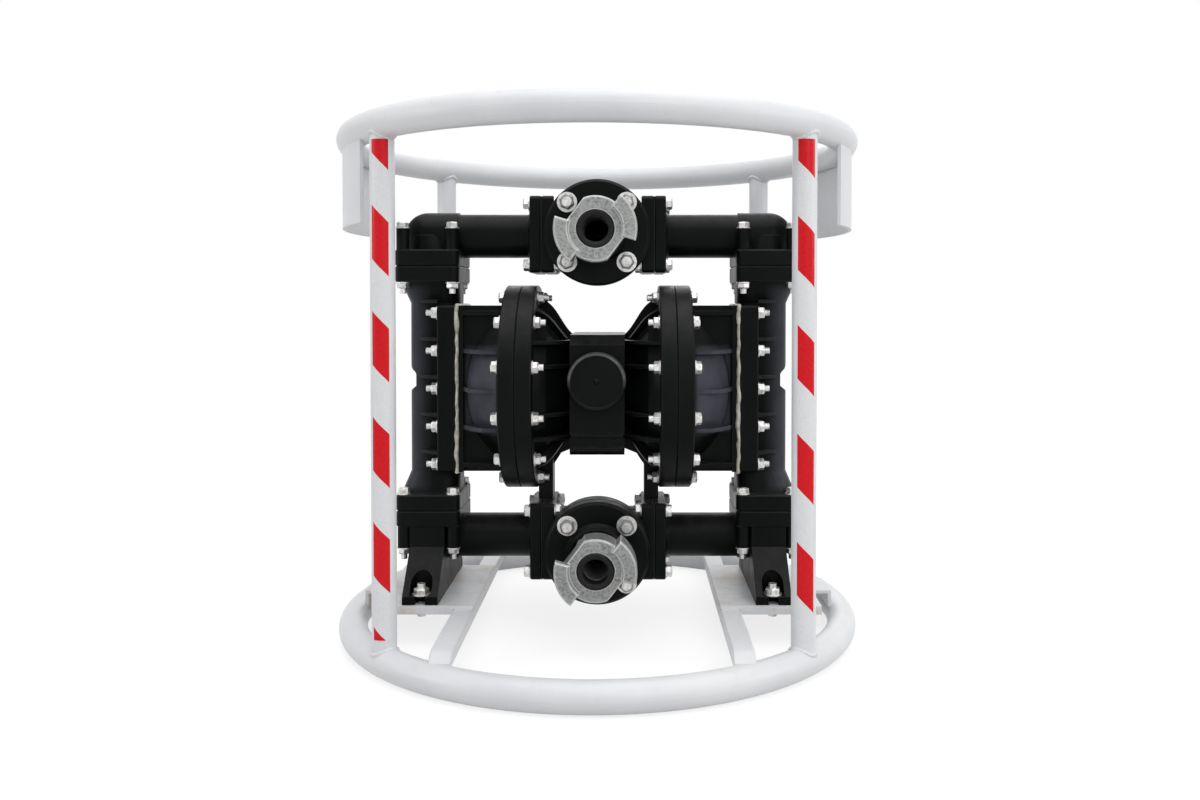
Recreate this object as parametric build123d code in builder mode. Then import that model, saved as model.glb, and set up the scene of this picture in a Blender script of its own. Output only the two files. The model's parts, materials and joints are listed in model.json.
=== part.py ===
from build123d import *
import math
import os

# Air-operated double-diaphragm pump in a round tubular cage, in millimetres.
# The pump's shaft runs along X, its ports face -Y and +Z is up. Z = 0 is the floor.

# Cage
cage_height = 620
hoop_radius = 305
hoop_tube = 34
post_tube = 27
post_angle = 48.5
guard_radius = 315
guard_half_angle = 31
guard_bottom = 497
sheet = 4
rail_inner = 147
rail_outer = 171
rail_height = 14
rail_half_length = 258
pad_top = 48
pad_half_depth = 98
pad_lip = 10
pad_end = 268
tongue_end = 292
tongue_half_depth = 30

# Pump: heights and stations from the middle plane outwards
shaft_height = 303
port_rise = 190.5
flange_radius = 128
flange_thick = 20
clamp_circle = 232
air_flange = 75.5
split_x = air_flange + flange_thick
fluid_flange = split_x + flange_thick
chamber_end = 171.5
chamber_plate = 6
gasket_thick = 3
column_start = chamber_end + gasket_thick
column_flange = 23
column_end = 237
column_axis = 210.5
column_half_depth = 30
column_corner = 20
notch_depth = 9
row_pitch = 46.8
row_depth = 44
row_half_depth = 52
window_half_height = 102.5

# Check valves and passages
block_inner = 171
block_outer = 250
block_half_depth = 50
block_thick = 20
block_rise = 151.5
passage = 20
valve_bore = 22
seat_outer = 25
seat_inner = 15
seat_thick = 8
ball_radius = 19
ball_lift = 12

# Manifolds
tube_radius = 27.5
knuckle_radius = 29.5
collar = 4
square_flange = 95
tee_half = 69
tee_flange = 15
ring_gasket = 1.5
elbow_flange = 13.5
tee_bolt_offset = 38
port_radius = 64
port_face = 80
port_pitch_circle = 101
port_flange_thick = 15
port_hub = 14
# the suction branch hangs a few degrees below level
suction_droop = 5
tee_disc_back = 50

# Claw couplings
claw_face = 150
claw_depth = 26
claw_radius = 48
claw_start = 163
claw_span = 70
coupling_radius = 38
flat_turn = 143
flat_reach = 32
coupling_bore = 15
coupling_seal = 22

# Air motor
block_half_width = 33
block_front = 80
block_rear = 75
block_low = 77.5
block_high = 67
block_chamfer = 12
lug_half_width = 18
lug_bottom = 161.5
muffler_radius = 35
muffler_neck = 23
muffler_rise = 12
muffler_sink = 20
muffler_length = 44
shaft_radius = 10
bush_outer = 14
bush_length = 18
running_gap = 0.05
plate_radius = 46
plate_inner = 83.5
plate_thick = 8
web_thick = 3
stroke = 20
pilot_stroke = 3
pilot_radius = 4
pilot_rise = 36
pilot_gap = 0.3
valve_half_width = 36
end_cap_thick = 8
end_cap_radius = 19
air_thread = 9.3
valve_depth = 58
valve_corner = 8
valve_rise = 34
spool_radius = 14
spool_travel = 6
land_pitch = 22
land_width = 12

# Hexagons: half of the width across corners, and the height
m8_hex = 7.5
m8_height = 8
m8_nut = 6.5
m10_hex = 9.5
m10_height = 7
m12_hex = 10.5
m12_height = 8
m12_washer = 12
washer_thick = 2.5

upper_axis = shaft_height + port_rise
lower_axis = shaft_height - port_rise
shaft_line = Axis((0, 0, shaft_height), (1, 0, 0))
hoop_top = cage_height - hoop_tube / 2
hoop_bottom = hoop_tube / 2

os.makedirs("parts", exist_ok=True)


def save(shape, label):
    shape.label = label
    export_step(shape, f"parts/{label}.step")


def save_pair(shape, label):
    """The piece on the +X side, and its mirror image on the -X side."""
    left = mirror(shape, about=Plane.YZ)
    save(shape, f"{label}_right")
    save(left, f"{label}_left")


def clear_of_hoop(height):
    """Cope what is being built to the round tube of a hoop."""
    with Locations((0, 0, height)):
        Torus(hoop_radius, hoop_tube / 2, mode=Mode.SUBTRACT)


def pad_block(width, depth, thick, corner, edge):
    """A rounded plate from z = 0 up, with its upper and lower rims chamfered."""
    with BuildPart() as block:
        with BuildSketch():
            RectangleRounded(width, depth, corner)
        extrude(amount=thick)
        chamfer(block.faces().sort_by(Axis.Z)[0].edges(), edge)
        chamfer(block.faces().sort_by(Axis.Z)[-1].edges(), edge)
    return block.part


# ---------------------------------------------------------------- cage
for height, label in ((hoop_top, "top_ring"), (hoop_bottom, "bottom_ring")):
    with BuildPart() as ring:
        with Locations((0, 0, height)):
            Torus(hoop_radius, hoop_tube / 2)
    save(ring.part, label)

for turn, end in ((-1, "front"), (1, "rear")):
    post_x = hoop_radius * math.sin(math.radians(post_angle))
    post_y = turn * hoop_radius * math.cos(math.radians(post_angle))
    with BuildPart() as post:
        with BuildSketch(Plane.XY.offset(hoop_bottom)):
            with Locations((post_x, post_y)):
                Circle(post_tube / 2)
        extrude(amount=hoop_top - hoop_bottom)
        clear_of_hoop(hoop_top)
        clear_of_hoop(hoop_bottom)
    save_pair(post.part, f"post_{end}")

with BuildPart() as side_plate:
    with BuildSketch(Plane.XY.offset(guard_bottom)):
        with BuildLine():
            outer = CenterArc((0, 0), guard_radius, -guard_half_angle, 2 * guard_half_angle)
            inner = CenterArc((0, 0), guard_radius - sheet, -guard_half_angle, 2 * guard_half_angle)
            Line(outer @ 0, inner @ 0)
            Line(outer @ 1, inner @ 1)
        make_face()
    extrude(amount=hoop_top - guard_bottom - 10)
    clear_of_hoop(hoop_top)
save_pair(side_plate.part, "side_plate")

with BuildPart() as base_rail:
    with BuildSketch(Plane.XY.offset(pad_top - sheet - rail_height)):
        with Locations(((rail_inner + rail_outer) / 2, 0)):
            Rectangle(rail_outer - rail_inner, 2 * rail_half_length)
    extrude(amount=rail_height)
    clear_of_hoop(hoop_bottom)
save_pair(base_rail.part, "base_rail")

with BuildPart() as mounting_pad:
    with BuildSketch(Plane.XY.offset(pad_top)):
        with Locations((rail_inner, 0)):
            Rectangle(pad_end - rail_inner, 2 * pad_half_depth, align=(Align.MIN, Align.CENTER))
            Rectangle(tongue_end - rail_inner, 2 * tongue_half_depth, align=(Align.MIN, Align.CENTER))
    extrude(amount=-sheet)
    # lips turned down at the front and rear, and at the tongue's end onto the hoop
    with BuildSketch(Plane.XY.offset(pad_top - sheet)):
        with GridLocations(0, 2 * pad_half_depth - sheet, 1, 2):
            with Locations((rail_outer, 0)):
                Rectangle(pad_end - rail_outer, sheet, align=(Align.MIN, Align.CENTER))
    extrude(amount=-(pad_lip - sheet))
    with BuildSketch(Plane.XY.offset(pad_top - sheet)):
        with Locations((tongue_end - sheet / 2, 0)):
            Rectangle(sheet, 2 * tongue_half_depth)
    extrude(amount=-hoop_tube / 2)
    clear_of_hoop(hoop_bottom)
save_pair(mounting_pad.part, "mounting_pad")

# ---------------------------------------------------------------- air motor
pilot_height = shaft_height + pilot_rise
muffler_height = shaft_height + muffler_rise

with BuildPart() as center_block:
    with BuildSketch(Plane.YZ):
        with BuildLine():
            Polyline(
                (-block_front + 4, shaft_height - block_low),
                (block_rear - block_chamfer, shaft_height - block_low),
                (block_rear, shaft_height - block_low + block_chamfer),
                (block_rear, shaft_height + block_high - block_chamfer),
                (block_rear - block_chamfer, shaft_height + block_high),
                (-block_front + block_chamfer, shaft_height + block_high),
                (-block_front, shaft_height + block_high - block_chamfer),
                (-block_front, shaft_height - block_low + 4),
                close=True,
            )
        make_face()
    extrude(amount=block_half_width, both=True)
    # the bore for the shaft and its bushes, and the pilot rod's bore above it
    with BuildSketch(Plane.YZ.offset(-block_half_width)):
        with Locations((0, shaft_height)):
            Circle(bush_outer)
        with Locations((0, pilot_height)):
            Circle(pilot_radius + running_gap)
    extrude(amount=2 * block_half_width, mode=Mode.SUBTRACT)
    # horizontal stiffening ribs across the front, tapered towards their crests
    for rib in (-70, -54):
        with BuildSketch(Plane.XZ.offset(block_front)):
            with Locations((0, shaft_height + rib)):
                Rectangle(2 * block_half_width, 6)
        extrude(amount=5, taper=18)
    # seat of the exhaust muffler's neck
    with BuildSketch(Plane.XZ.offset(block_front)):
        with Locations((0, muffler_height)):
            Circle(muffler_neck)
    extrude(amount=-muffler_sink, mode=Mode.SUBTRACT)
save(center_block.part, "center_block")

# Muffler: a necked plug whose rim stands proud of a shallow dished face with a nub in its middle
with BuildPart() as muffler:
    with BuildSketch(Plane.XZ):
        with BuildLine():
            Polyline(
                (0, 0),
                (muffler_neck, 0),
                (muffler_neck, muffler_sink),
                (muffler_radius, muffler_sink),
                (muffler_radius, muffler_length - 3),
                (muffler_radius - 1, muffler_length - 0.8),
                (muffler_radius - 3, muffler_length),
                (muffler_radius - 4, muffler_length - 0.5),
                (muffler_radius - 5, muffler_length - 3),
                (muffler_radius - 15, muffler_length - 2),
                (3.5, muffler_length - 1.6),
                (2, muffler_length + 0.6),
                (0, muffler_length + 1),
                close=True,
            )
        make_face()
    revolve(axis=Axis.Z)
muffler_seat = Plane(origin=(0, muffler_sink - block_front, muffler_height), z_dir=(0, -1, 0))
save(muffler_seat * muffler.part, "muffler")

# Air chamber: a ribbed bell that carries the inner clamp flange
wall_inner = block_half_width + 18
with BuildPart() as air_chamber:
    with BuildSketch(Plane.XZ):
        with BuildLine():
            Polyline(
                (block_half_width, shaft_height + bush_outer),
                (block_half_width, shaft_height + 56),
                (block_half_width + 10, shaft_height + 66),
                (air_flange - 14, shaft_height + 90),
                (air_flange, shaft_height + 101),
                (air_flange, shaft_height + flange_radius - 1.5),
                (air_flange + 1.5, shaft_height + flange_radius),
                (split_x - 1, shaft_height + flange_radius),
                (split_x, shaft_height + flange_radius - 1),
                (split_x, shaft_height + 108),
                (split_x - 2, shaft_height + 108),
                (split_x - 2, shaft_height + 100),
                (split_x - 12, shaft_height + 92),
                (wall_inner, shaft_height + 58),
                (wall_inner, shaft_height + bush_outer),
                close=True,
            )
        make_face()
    revolve(axis=shaft_line)
    with BuildSketch(Plane.YZ.offset(block_half_width)):
        with Locations((0, pilot_height)):
            Circle(pilot_radius + running_gap)
    extrude(amount=wall_inner - block_half_width, mode=Mode.SUBTRACT)
    # ribs up to the clamp flange: radial above and below, level at the front and rear
    with BuildPart(mode=Mode.PRIVATE) as bell_rib:
        with BuildSketch(Plane.XZ):
            with BuildLine():
                crest = Polyline(
                    (block_half_width, shaft_height + 50),
                    (block_half_width, shaft_height + 66),
                )
                sweep_line = Spline(
                    crest @ 1,
                    (block_half_width + 14, shaft_height + 84),
                    (air_flange - 14, shaft_height + 104),
                    (air_flange, shaft_height + 112),
                )
                Polyline(
                    sweep_line @ 1,
                    (air_flange, shaft_height + 99),
                    (air_flange - 14, shaft_height + 88),
                    (block_half_width, shaft_height + 50),
                )
            make_face()
        extrude(amount=2, both=True)
    for turn in (-30, 0, 30, 150, 180, 210):
        add(bell_rib.part.rotate(shaft_line, turn))
    for rib, crest in ((-58, 112), (-29, 102), (29, 102), (58, 112)):
        with BuildSketch(Plane.XY.offset(shaft_height + rib - 2)):
            with BuildLine():
                reach = math.sqrt(crest**2 - rib**2)
                back = math.sqrt(98**2 - rib**2)
                side = Polyline((block_half_width, -30), (block_half_width, -block_front + 10 + abs(rib) / 6))
                bow = Spline(side @ 1, (block_half_width + 18, -0.84 * reach), (air_flange, -reach))
                Polyline(bow @ 1, (air_flange, -back), (air_flange - 14, -back + 12), (block_half_width, -30))
            make_face()
            mirror(about=Plane.XZ)
        extrude(amount=4)
    # web under the bell, ending in a lug below the clamp flange
    with BuildSketch(Plane.XZ):
        with BuildLine():
            Polyline(
                (block_half_width, shaft_height - 50),
                (block_half_width, shaft_height - block_low),
                (air_flange - 18, shaft_height - block_low - 10),
                (air_flange - 18, lug_bottom),
                (air_flange, lug_bottom),
                (air_flange, shaft_height - 100),
                (air_flange - 16, shaft_height - 88),
                close=True,
            )
        make_face()
    extrude(amount=lug_half_width, both=True)
save_pair(air_chamber.part, "air_chamber")

# Fluid chamber: domed bowl, clamp flange, and the flanged box that the valve column bolts onto
with BuildPart() as fluid_chamber:
    with BuildSketch(Plane.XZ):
        with BuildLine():
            wall = Polyline(
                (split_x, shaft_height),
                (split_x, shaft_height + flange_radius - 1),
                (split_x + 1, shaft_height + flange_radius),
                (fluid_flange - 1.5, shaft_height + flange_radius),
                (fluid_flange, shaft_height + flange_radius - 1.5),
                (fluid_flange, shaft_height + 100),
            )
            dome = Spline(
                wall @ 1,
                (fluid_flange + 26, shaft_height + 80),
                (chamber_end - 10, shaft_height + 48),
            )
            Polyline(dome @ 1, (chamber_end - 10, shaft_height), (split_x, shaft_height))
        make_face()
    revolve(axis=shaft_line)
    with BuildSketch(Plane.YZ.offset(fluid_flange)):
        with Locations((0, shaft_height)):
            Rectangle(2 * column_half_depth + 26, 2 * window_half_height)
    extrude(amount=chamber_end - fluid_flange)
    with BuildSketch(Plane.YZ.offset(chamber_end)):
        with Locations((0, shaft_height)):
            Rectangle(2 * row_half_depth, 2 * window_half_height)
    extrude(amount=-chamber_plate)
    # five ribs that carry the column's bolts back to the clamp flange
    for row in range(-2, 3):
        with BuildSketch(Plane.XY.offset(shaft_height + row * row_pitch - 2.5)):
            with BuildLine():
                rib_out = (98, 94, 64)[abs(row)]
                rib_bend = (84, 74, 56)[abs(row)]
                Polyline(
                    (fluid_flange, -rib_out),
                    (fluid_flange + 22, -rib_out + 5),
                    (chamber_end - 19, -rib_bend),
                    (chamber_end - chamber_plate, -row_half_depth),
                    (chamber_end - chamber_plate, row_half_depth),
                    (chamber_end - 19, rib_bend),
                    (fluid_flange + 22, rib_out - 5),
                    (fluid_flange, rib_out),
                    close=True,
                )
            make_face()
        extrude(amount=5)
    # the bowl that the diaphragm works in, and its two ports
    with BuildSketch(Plane.XZ):
        with BuildLine():
            Polyline(
                (split_x, shaft_height),
                (split_x, shaft_height + 108),
                (split_x + 2, shaft_height + 108),
                (split_x + 2, shaft_height + 100),
                (split_x + 16, shaft_height + 90),
                (split_x + 44, shaft_height + 56),
                (split_x + 44, shaft_height),
                close=True,
            )
        make_face()
    revolve(axis=shaft_line, mode=Mode.SUBTRACT)
    with BuildSketch(Plane.YZ.offset(chamber_end)):
        with GridLocations(0, 2 * (window_half_height - 38), 1, 2):
            with Locations((0, shaft_height)):
                Circle(passage)
    extrude(amount=-(chamber_end - split_x - 20), mode=Mode.SUBTRACT)
save_pair(fluid_chamber.part, "fluid_chamber")

with BuildPart() as column_gasket:
    with BuildSketch(Plane.YZ.offset(chamber_end)):
        with Locations((0, shaft_height)):
            Rectangle(2 * row_half_depth, 2 * window_half_height)
            Rectangle(2 * column_half_depth, 2 * window_half_height - 36, mode=Mode.SUBTRACT)
    extrude(amount=gasket_thick)
save_pair(column_gasket.part, "column_gasket")

# Valve column: the upright passage from the suction valve to the discharge valve
block_bottom = shaft_height - block_rise
block_top = shaft_height + block_rise
block_width = block_outer - block_inner
block_middle = (block_inner + block_outer) / 2
column_width = column_end - column_start
flare_height = 26
flare_width = block_outer - 2 - column_start
with BuildPart() as valve_column:
    # round-cornered trunk, flared into the valve blocks at both ends
    with BuildSketch(Plane.XY.offset(block_bottom + block_thick - 1)):
        with Locations((column_start + column_width / 2, 0)):
            RectangleRounded(column_width, 2 * column_half_depth, column_corner)
    extrude(amount=2 * (block_rise - block_thick + 1))
    for way in (-1, 1):
        with BuildSketch(Plane.XY.offset(shaft_height + way * (block_rise - block_thick + 1))):
            with Locations((column_start + flare_width / 2, 0)):
                RectangleRounded(flare_width, 2 * column_half_depth + 12, column_corner)
        with BuildSketch(Plane.XY.offset(shaft_height + way * (block_rise - block_thick - flare_height))):
            with Locations((column_start + column_width / 2, 0)):
                RectangleRounded(column_width, 2 * column_half_depth, column_corner)
        loft()
    # the notch across the outer face, with a long run-in from above
    with BuildSketch(Plane.XZ):
        with BuildLine():
            lip = Line((column_end + 2, shaft_height - 5), (column_end, shaft_height - 5))
            floor = Polyline(
                lip @ 1,
                (column_end - notch_depth, shaft_height + 2),
                (column_end - notch_depth, shaft_height + 15),
            )
            run_in = Spline(
                floor @ 1,
                (column_end - 4, shaft_height + 22),
                (column_end, shaft_height + 33),
                tangents=((0, 1), (0, 1)),
            )
            Polyline(run_in @ 1, (column_end + 2, shaft_height + 33), (column_end + 2, shaft_height - 5))
        make_face()
    extrude(amount=column_half_depth + 2, both=True, mode=Mode.SUBTRACT)
    add(Plane.YZ.offset(column_start).location * Location((0, shaft_height, 0))
        * pad_block(2 * row_half_depth, 2 * window_half_height, column_flange, 4, 1.2))
    # webs from the bolts to the column's wall
    for row in range(-2, 3):
        with BuildSketch(Plane.XY.offset(shaft_height + row * row_pitch + 12)):
            with BuildLine():
                Polyline(
                    (column_start + column_flange, -row_half_depth + 1),
                    (column_end - 14, -column_half_depth + 1),
                    (column_end - 14, column_half_depth - 1),
                    (column_start + column_flange, row_half_depth - 1),
                    close=True,
                )
            make_face()
        extrude(amount=4)
    for z_low in (block_bottom, block_top - block_thick):
        add(Location((block_middle, 0, z_low)) * pad_block(block_width, 2 * block_half_depth, block_thick, 8, 1.5))
    # passages: suction valve cage, upright bore, discharge seat pocket, and two chamber ports
    with BuildSketch(Plane.XY.offset(block_bottom)):
        with Locations((column_axis, 0)):
            Circle(passage - 3)
    extrude(amount=2 * block_rise, mode=Mode.SUBTRACT)
    with BuildSketch(Plane.XY.offset(block_bottom)):
        with Locations((column_axis, 0)):
            Circle(valve_bore)
    extrude(amount=52, mode=Mode.SUBTRACT)
    for z_face, way in ((block_bottom, 1), (block_top, -1)):
        with BuildSketch(Plane.XY.offset(z_face)):
            with Locations((column_axis, 0)):
                Circle(seat_outer)
        extrude(amount=way * seat_thick, mode=Mode.SUBTRACT)
    with BuildSketch(Plane.YZ.offset(column_start)):
        with GridLocations(0, 2 * (window_half_height - 38), 1, 2):
            with Locations((0, shaft_height)):
                Circle(passage - 3)
    extrude(amount=column_axis - column_start, mode=Mode.SUBTRACT)
save_pair(valve_column.part, "valve_column")

# ---------------------------------------------------------------- manifolds
elbow_face = tee_half + ring_gasket
boss_height = 26
boss_radius = 8
bolt_span_x = block_width - 18
bolt_span_y = 2 * block_half_depth - 18
foot_inner = 190
foot_outer = 232.5
foot_x = (foot_inner + foot_outer) / 2
foot_half_depth = 95
foot_neck = 107
foot_bolt_y = 84
toe_thick = 10
arch_half_width = 13
arch_straight = 13
arch_back = 66


def build_elbow(axis_height, way):
    """Tube, square flange and valve block of one elbow: way is +1 for discharge, -1 for suction.

    Both have bolt bosses on the block, and the suction elbow also has the pump's foot.
    """
    block_face = shaft_height + way * block_rise
    block_back = block_face + way * block_thick
    knuckle_x = column_axis + 6
    square = pad_block(square_flange, square_flange, elbow_flange, 6, 1.2)
    block = pad_block(block_width, 2 * block_half_depth, block_thick, 8, 1.5)
    with BuildPart() as elbow:
        with BuildSketch(Plane.YZ.offset(elbow_face)):
            with Locations((0, axis_height)):
                Circle(tube_radius)
        extrude(amount=knuckle_x - elbow_face)
        add(Plane.YZ.offset(elbow_face).location * Location((0, axis_height, 0)) * square)
        # raised collar where the tube leaves its flange
        with BuildSketch(Plane.YZ.offset(elbow_face + elbow_flange)):
            with Locations((0, axis_height)):
                Circle(tube_radius + collar)
        extrude(amount=collar, taper=35)
        # thicker knuckle at the bend
        with BuildSketch(Plane.YZ.offset(block_inner + 6)):
            with Locations((0, axis_height)):
                Circle(knuckle_radius)
        extrude(amount=knuckle_x - block_inner - 6)
        with Locations((knuckle_x, 0, axis_height)):
            Sphere(knuckle_radius)
        add(Location((block_middle, 0, min(block_face, block_back))) * block)
        with BuildSketch(Plane.XY.offset(block_back)):
            with Locations((column_axis, 0)):
                Circle(36)
        with BuildSketch(Plane.XY.offset(axis_height)):
            with Locations((column_axis + 3, 0)):
                Circle(31)
        loft()
        with BuildSketch(Plane.XY.offset(block_back)):
            with Locations((block_middle, 0)):
                with GridLocations(bolt_span_x, bolt_span_y, 2, 2):
                    Circle(boss_radius)
        extrude(amount=way * boss_height)
        if way < 0:
            with BuildSketch(Plane.YZ.offset(foot_inner)):
                with BuildLine():
                    Polyline(
                        (-foot_half_depth, pad_top),
                        (-foot_half_depth, pad_top + toe_thick),
                        (-block_half_depth + 2, foot_neck),
                        (-block_half_depth + 2, block_back),
                        (block_half_depth - 2, block_back),
                        (block_half_depth - 2, foot_neck),
                        (foot_half_depth, pad_top + toe_thick),
                        (foot_half_depth, pad_top),
                        close=True,
                    )
                make_face()
            extrude(amount=foot_outer - foot_inner)
            # arched pockets and open slots for the holding-down bolts
            for end in (-1, 1):
                with BuildSketch(Plane.XZ.offset(end * arch_back)):
                    with Locations((foot_x, pad_top + toe_thick)):
                        Rectangle(2 * arch_half_width, arch_straight, align=(Align.CENTER, Align.MIN))
                    with Locations((foot_x, pad_top + toe_thick + arch_straight)):
                        Circle(arch_half_width)
                extrude(amount=end * (foot_half_depth - arch_back), mode=Mode.SUBTRACT)
            with BuildSketch(Plane.XY.offset(pad_top)):
                with Locations((foot_x, foot_bolt_y), (foot_x, -foot_bolt_y)):
                    Circle(6)
                with GridLocations(0, 2 * foot_half_depth - 10, 1, 2):
                    with Locations((foot_x, 0)):
                        Rectangle(12, 12)
            extrude(amount=toe_thick, mode=Mode.SUBTRACT)
            # the hollow under the foot
            with BuildSketch(Plane.XY.offset(pad_top)):
                with Locations((foot_x, 0)):
                    RectangleRounded(foot_outer - foot_inner - 14, 110, 6)
            extrude(amount=30, mode=Mode.SUBTRACT)
        # the bore from the tee to the valve block
        with BuildSketch(Plane.YZ.offset(elbow_face)):
            with Locations((0, axis_height)):
                Circle(passage)
        extrude(amount=column_axis - elbow_face, mode=Mode.SUBTRACT)
        with BuildSketch(Plane.XY.offset(block_face)):
            with Locations((column_axis, 0)):
                Circle(valve_bore if way > 0 else passage - 3)
        extrude(amount=axis_height - block_face + way * 6, mode=Mode.SUBTRACT)
    return elbow.part


save_pair(build_elbow(upper_axis, 1), "discharge_elbow")
save_pair(build_elbow(lower_axis, -1), "suction_elbow")

# Each port is modelled with the manifold's axis at the origin and the port facing -Y,
# and then turned about the manifold by its droop and lifted to its height.
flange_back = port_face - port_flange_thick
shank_radius = 23


def build_tee(droop):
    """Body of a manifold tee with two square flanges and the round port flange."""
    square = pad_block(square_flange, square_flange, tee_flange, 6, 1.2)
    with BuildPart() as tee:
        # barrel waisted between its flanges
        with BuildSketch(Plane.XZ):
            with BuildLine():
                Polyline(
                    (-tee_half + 5, 0),
                    (-tee_half + 5, 40),
                    (-tee_half + tee_flange + 4, 40),
                    (-tee_half + tee_flange + 10, 36),
                    (tee_half - tee_flange - 10, 36),
                    (tee_half - tee_flange - 4, 40),
                    (tee_half - 5, 40),
                    (tee_half - 5, 0),
                    close=True,
                )
            make_face()
        revolve(axis=Axis.X)
        for start in (-tee_half, tee_half - tee_flange):
            add(Plane.YZ.offset(start).location * square)
        with BuildPart(mode=Mode.PRIVATE) as branch:
            with BuildSketch(Plane.XZ):
                Circle(38)
            extrude(amount=flange_back)
            with BuildSketch(Plane.XZ.offset(tee_disc_back)):
                Circle(port_radius)
            extrude(amount=flange_back - tee_disc_back)
            chamfer(branch.faces().sort_by(Axis.Y)[0].edges(), 1)
        add(branch.part.rotate(Axis.X, droop))
        with BuildSketch(Plane.YZ.offset(-tee_half)):
            Circle(passage)
        extrude(amount=2 * tee_half, mode=Mode.SUBTRACT)
        with BuildPart(mode=Mode.PRIVATE) as branch_bore:
            with BuildSketch(Plane.XZ):
                Circle(passage)
            extrude(amount=port_face)
        add(branch_bore.part.rotate(Axis.X, droop), mode=Mode.SUBTRACT)
    return tee.part


def build_port_flange():
    """Companion flange with the hub that the coupling screws into."""
    with BuildPart() as port_flange:
        with BuildSketch(Plane.YZ):
            with BuildLine():
                Polyline(
                    (-flange_back, shank_radius),
                    (-flange_back, port_radius - 1),
                    (-flange_back - 1, port_radius),
                    (-port_face + 3, port_radius),
                    (-port_face, port_radius - 3),
                    (-port_face, 38),
                    (-port_face - 4, 35),
                    (-port_face - port_hub, 34),
                    (-port_face - port_hub, shank_radius),
                    close=True,
                )
            make_face()
        revolve(axis=Axis.Y)
    return port_flange.part


def build_coupling():
    """Cast claw coupling: threaded shank, collar, face ring and two claws."""
    collar_back = port_face + port_hub
    ring_back = claw_face - 34
    ring_face = claw_face - 8
    with BuildPart() as coupling:
        with BuildSketch(Plane.XZ.offset(flange_back + 2)):
            Circle(shank_radius)
        extrude(amount=ring_back - flange_back - 2)
        with BuildSketch(Plane.XZ.offset(collar_back)):
            RegularPolygon(31, 8)
        extrude(amount=ring_back - collar_back)
        with BuildSketch(Plane.XZ.offset(ring_back)):
            Circle(coupling_radius)
        extrude(amount=ring_face - ring_back)
        chamfer(coupling.faces().sort_by(Axis.Y)[0].edges().sort_by(SortBy.LENGTH)[-1], 1.5)
        # two claws, each a curved lug that stands out past the ring and hooks inwards
        for turn in (0, 180):
            with BuildPart(mode=Mode.PRIVATE) as claw:
                with BuildSketch(Plane.XZ.offset(claw_face - claw_depth)):
                    with BuildLine():
                        outer = CenterArc((0, 0), claw_radius, claw_start + turn, claw_span)
                        inner = CenterArc((0, 0), coupling_radius - 7, claw_start + turn, claw_span)
                        Line(outer @ 0, inner @ 0)
                        Line(outer @ 1, inner @ 1)
                    make_face()
                extrude(amount=claw_depth)
                chamfer(claw.faces().sort_by(Axis.Y)[0].edges(), 1.5)
            add(claw.part)
        # flats across the ring between the claws
        for turn in (0, 180):
            with BuildSketch(Plane.XZ.offset(ring_back)):
                with Locations(Location((0, 0), flat_turn + turn)):
                    with Locations((flat_reach + 10, 0)):
                        Rectangle(20, 44)
            extrude(amount=ring_face - ring_back, mode=Mode.SUBTRACT)
        with BuildSketch(Plane.XZ.offset(flange_back)):
            Circle(coupling_bore)
        extrude(amount=claw_face, mode=Mode.SUBTRACT)
        with BuildSketch(Plane.XZ.offset(claw_face - 22)):
            Circle(coupling_seal)
        extrude(amount=22, mode=Mode.SUBTRACT)
    return coupling.part


def build_coupling_seal():
    """Lip seal: a ring whose inner edge is rounded towards the mating coupling."""
    seal_back = claw_face - 22
    with BuildPart() as coupling_seal_ring:
        with BuildSketch(Plane.YZ):
            with BuildLine():
                Polyline(
                    (-seal_back, coupling_bore),
                    (-seal_back, coupling_seal),
                    (-seal_back - 15, coupling_seal),
                    (-seal_back - 17, coupling_seal - 1.5),
                    (-seal_back - 17, coupling_seal - 4),
                    (-seal_back - 15, coupling_bore),
                    close=True,
                )
            make_face()
        revolve(axis=Axis.Y)
    return coupling_seal_ring.part


def build_port_bolts():
    """Four bolts with round washers through the port flanges, and their nuts behind the tee's disc."""
    with BuildPart() as bolts:
        with BuildSketch(Plane.XZ.offset(port_face)):
            with PolarLocations(port_pitch_circle / 2, 4, start_angle=45):
                Circle(m12_washer)
        extrude(amount=washer_thick)
        for face, amount in ((port_face + washer_thick, m12_height), (tee_disc_back, -m12_height)):
            with BuildSketch(Plane.XZ.offset(face)):
                with PolarLocations(port_pitch_circle / 2, 4, start_angle=45):
                    RegularPolygon(m12_hex, 6)
            extrude(amount=amount)
    return bolts.part


ports = ((upper_axis, 0, "discharge"), (lower_axis, suction_droop, "suction"))
port_builders = (
    ("port_flange", build_port_flange),
    ("coupling", build_coupling),
    ("coupling_seal", build_coupling_seal),
)
for axis_height, droop, label in ports:
    save(Location((0, 0, axis_height)) * build_tee(droop), f"{label}_tee")
    for kind, build in port_builders:
        save(Location((0, 0, axis_height), (droop, 0, 0)) * build(), f"{label}_{kind}")

# flat gaskets between the tees' square flanges and the elbows
with BuildPart() as manifold_gaskets:
    with BuildSketch(Plane.YZ.offset(tee_half)):
        for axis_height in (upper_axis, lower_axis):
            with Locations((0, axis_height)):
                Rectangle(square_flange - 2, square_flange - 2)
                Circle(passage, mode=Mode.SUBTRACT)
    extrude(amount=ring_gasket)
    mirror(about=Plane.YZ)
save(manifold_gaskets.part, "manifold_gaskets")

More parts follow.
